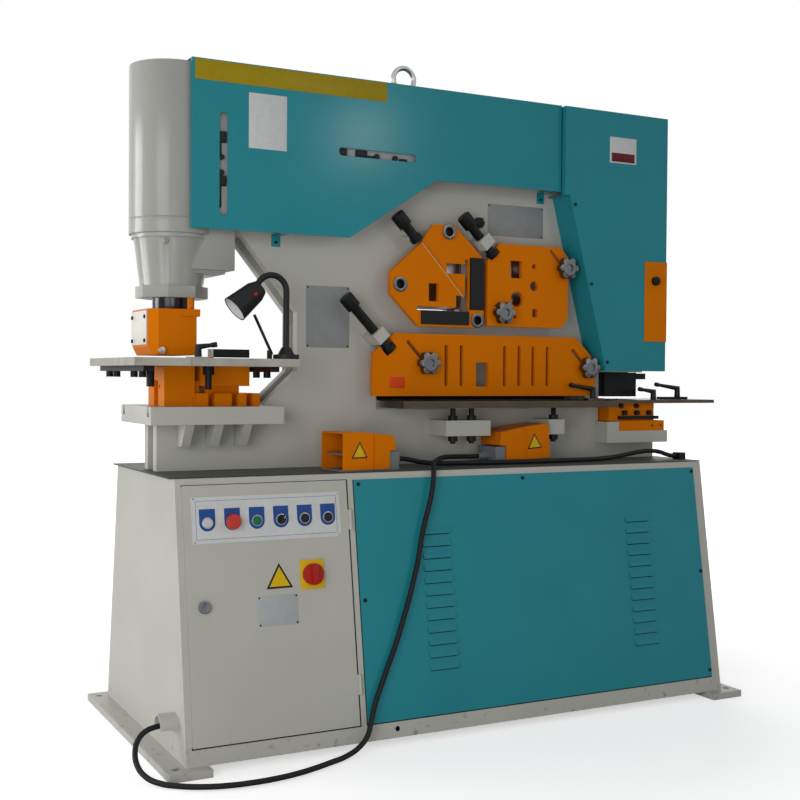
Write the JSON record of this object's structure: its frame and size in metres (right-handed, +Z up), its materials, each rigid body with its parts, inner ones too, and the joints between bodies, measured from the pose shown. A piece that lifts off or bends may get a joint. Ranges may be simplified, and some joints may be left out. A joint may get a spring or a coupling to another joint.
{
  "type": "ironworker machine",
  "caption": "Hydraulic ironworker with a punch station in a deep throat, angle, bar and plate shears and a notcher on a welded base with a control door and foot switches.",
  "frame": {"origin": "on the floor under the middle of the base", "axes": "+X along the machine from the punch end to the notching end, -Y to the operator, +Z up"},
  "size_m": [2.2879, 1.071, 2.169],
  "materials": {
    "cream_paint": "semi-gloss",
    "teal_paint": "semi-gloss",
    "orange_paint": "semi-gloss",
    "tray_paint": "satin",
    "black_oxide": "satin",
    "machined_steel": "machined",
    "ram_steel": "polished",
    "cast_aluminium": "cast and polished",
    "grey_paint": "satin",
    "control_face": "satin",
    "black_plastic": "matte",
    "red_plastic": "gloss",
    "green_plastic": "gloss",
    "cord_rubber": "matte",
    "pad_rubber": "matte"
  },
  "bodies": {
    "machine": {"base_cabinet": "cream_paint", "drip_tray": "tray_paint", "front_panel": "teal_paint", "fasteners": "black_oxide", "main_frame": "cream_paint", "punch_cylinder": "cream_paint", "cylinder_casting": "cream_paint", "stripper": "orange_paint", "punch_table": "machined_steel", "table_hardware": "black_oxide", "die_holder": "orange_paint", "lower_tools": "machined_steel", "work_lamp": "black_plastic", "top_cover": "teal_paint", "right_cover": "teal_paint", "notch_guard": "orange_paint", "lifting_eye": "machined_steel", "angle_guard": "orange_paint", "guard_pads": "pad_rubber", "shear_table": "machined_steel", "notch_table": "machined_steel", "notch_holder": "orange_paint", "beam_cylinder": "grey_paint", "motor_pump": "grey_paint", "electric_plate": "grey_paint", "foot_hoods": "orange_paint", "foot_bodies": "grey_paint", "foot_cord": "cord_rubber", "rear_cord": "cord_rubber"},
    "door": {"cabinet_door": "cream_paint", "control_plate": "control_face"},
    "ram": {"ram": "ram_steel", "punch": "machined_steel"},
    "beam": {"swing_beam": "grey_paint", "upper_blades": "black_oxide"},
    "plate_guard": {"plate_guard": "orange_paint"},
    "section_guard": {"section_guard": "orange_paint"},
    "beam_plunger": {"beam_plunger": "machined_steel"},
    "door_lock": {"door_lock": "machined_steel"},
    "stop_button": {"stop_button": "red_plastic"},
    "green_button": {"green_button": "green_plastic"},
    "selector_switch": {"selector_switch": "black_plastic"},
    "black_button_left": {"black_button_left": "black_plastic"},
    "black_button_right": {"black_button_right": "black_plastic"},
    "switch_knob": {"switch_knob": "red_plastic"},
    "knob_plate_left": {"knob_plate_left": "cast_aluminium"},
    "knob_plate_right": {"knob_plate_right": "cast_aluminium"},
    "knob_section_left": {"knob_section_left": "cast_aluminium"},
    "knob_section_right": {"knob_section_right": "cast_aluminium"},
    "screw_angle": {"screw_angle": "black_oxide"},
    "screw_section": {"screw_section": "black_oxide"},
    "screw_plate": {"screw_plate": "black_oxide"},
    "lever_punch": {"lever_punch": "black_plastic"},
    "lever_shear": {"lever_shear": "black_plastic"},
    "lever_notch_inner": {"lever_notch_inner": "black_plastic"},
    "lever_notch_outer": {"lever_notch_outer": "black_plastic"},
    "ruler_stop": {"ruler_stop": "black_oxide"},
    "pedal_left": {"pedal_left": "machined_steel"},
    "pedal_right": {"pedal_right": "machined_steel"},
    "lamp_switch": {"lamp_switch": "red_plastic"}
  },
  "joints": [
    {"name": "ram_stroke", "type": "slide", "parent": "machine", "child": "ram", "axis": [0, 0, -1], "range_m": [0, 0.06]},
    {"name": "beam_swing", "type": "hinge", "parent": "machine", "child": "beam", "pos_m": [-0.33, 0, 1.14], "axis": [0, 1, 0], "range_deg": [0, 3.2]},
    {"name": "plunger_stroke", "type": "slide", "parent": "machine", "child": "beam_plunger", "axis": [0, 0, -1], "range_m": [0, 0.062]},
    {"name": "door_hinge", "type": "hinge", "parent": "machine", "child": "door", "pos_m": [-0.427, -0.38172, 0.41807], "axis": [0, 0.1555, 0.9878], "range_deg": [0, 110]},
    {"name": "lock_turn", "type": "hinge", "parent": "door", "child": "door_lock", "pos_m": [-0.899, -0.37007, 0.45347], "axis": [0, 0.9878, -0.1555], "range_deg": [0, 90]},
    {"name": "stop_press", "type": "slide", "parent": "door", "child": "stop_button", "axis": [0, 0.9878, -0.1555], "range_m": [0, 0.004], "stiffness_N_per_m": 500, "springref_m": -0.004},
    {"name": "green_press", "type": "slide", "parent": "door", "child": "green_button", "axis": [0, 0.9878, -0.1555], "range_m": [0, 0.004], "stiffness_N_per_m": 500, "springref_m": -0.004},
    {"name": "black_left_press", "type": "slide", "parent": "door", "child": "black_button_left", "axis": [0, 0.9878, -0.1555], "range_m": [0, 0.004], "stiffness_N_per_m": 500, "springref_m": -0.004},
    {"name": "black_right_press", "type": "slide", "parent": "door", "child": "black_button_right", "axis": [0, 0.9878, -0.1555], "range_m": [0, 0.004], "stiffness_N_per_m": 500, "springref_m": -0.004},
    {"name": "selector_turn", "type": "hinge", "parent": "door", "child": "selector_switch", "pos_m": [-0.6532, -0.33306, 0.68857], "axis": [0, 0.9878, -0.1555], "range_deg": [-45, 45]},
    {"name": "main_switch_turn", "type": "hinge", "parent": "door", "child": "switch_knob", "pos_m": [-0.562, -0.35903, 0.5236], "axis": [0, 0.9878, -0.1555], "range_deg": [0, 90]},
    {"name": "knob_plate_left_turn", "type": "hinge", "parent": "machine", "child": "knob_plate_left", "pos_m": [-0.054, -0.13, 1.158], "axis": [0, -1, 0], "range_deg": [-180, 180]},
    {"name": "knob_plate_right_turn", "type": "hinge", "parent": "machine", "child": "knob_plate_right", "pos_m": [0.601, -0.13, 1.149], "axis": [0, -1, 0], "range_deg": [-180, 180]},
    {"name": "knob_section_left_turn", "type": "hinge", "parent": "machine", "child": "knob_section_left", "pos_m": [0.239, -0.13, 1.334], "axis": [0, -1, 0], "range_deg": [-180, 180]},
    {"name": "knob_section_right_turn", "type": "hinge", "parent": "machine", "child": "knob_section_right", "pos_m": [0.501, -0.13, 1.498], "axis": [0, -1, 0], "range_deg": [-180, 180]},
    {"name": "plate_guard_slide", "type": "slide", "parent": "machine", "child": "plate_guard", "axis": [0.6947, 0, -0.7193], "range_m": [0, 0.016]},
    {"name": "section_guard_slide", "type": "slide", "parent": "machine", "child": "section_guard", "axis": [0.6947, 0, -0.7193], "range_m": [0, 0.014]},
    {"name": "screw_angle_feed", "type": "slide", "parent": "machine", "child": "screw_angle", "axis": [0.6947, 0, -0.7193], "range_m": [-0.008, 0.005]},
    {"name": "screw_section_feed", "type": "slide", "parent": "machine", "child": "screw_section", "axis": [0.6947, 0, -0.7193], "range_m": [0, 0.014]},
    {"name": "screw_plate_feed", "type": "slide", "parent": "machine", "child": "screw_plate", "axis": [0.6947, 0, -0.7193], "range_m": [0, 0.016]},
    {"name": "ruler_slide", "type": "slide", "parent": "machine", "child": "ruler_stop", "axis": [1, 0, 0], "range_m": [-0.03, 0.03]},
    {"name": "lever_punch_turn", "type": "hinge", "parent": "ruler_stop", "child": "lever_punch", "pos_m": [-0.855, -0.172, 1.168], "axis": [0, 0, 1], "range_deg": [-45, 45]},
    {"name": "lever_shear_turn", "type": "hinge", "parent": "machine", "child": "lever_shear", "pos_m": [0.621, -0.144, 1.041], "axis": [0, 0, 1], "range_deg": [0, 75]},
    {"name": "lever_notch_inner_turn", "type": "hinge", "parent": "machine", "child": "lever_notch_inner", "pos_m": [0.923, -0.11, 1.034], "axis": [0, 0, 1], "range_deg": [-20, 60]},
    {"name": "lever_notch_outer_turn", "type": "hinge", "parent": "machine", "child": "lever_notch_outer", "pos_m": [1.064, -0.078, 1.044], "axis": [0, 0, 1], "range_deg": [-45, 60]},
    {"name": "pedal_left_press", "type": "hinge", "parent": "machine", "child": "pedal_left", "pos_m": [-0.29216, -0.21123, 0.863], "axis": [0.1392, -0.9903, 0], "range_deg": [0, 10], "stiffness_Nm_per_rad": 40, "springref_deg": -5.73},
    {"name": "pedal_right_press", "type": "hinge", "parent": "machine", "child": "pedal_right", "pos_m": [0.24977, -0.1345, 0.8675], "axis": [0, 1, 0], "range_deg": [0, 10], "stiffness_Nm_per_rad": 40, "springref_deg": -5.73},
    {"name": "lamp_switch_press", "type": "slide", "parent": "machine", "child": "lamp_switch", "axis": [0, 1, 0], "range_m": [0, 0.002], "stiffness_N_per_m": 300, "springref_m": -0.002}
  ],
  "couplings": [
    {"joint": "plunger_stroke", "follows": "beam_swing", "m_per_rad": 1.083},
    {"joint": "screw_plate_feed", "follows": "plate_guard_slide", "ratio": 1},
    {"joint": "screw_section_feed", "follows": "section_guard_slide", "ratio": 1}
  ]
}
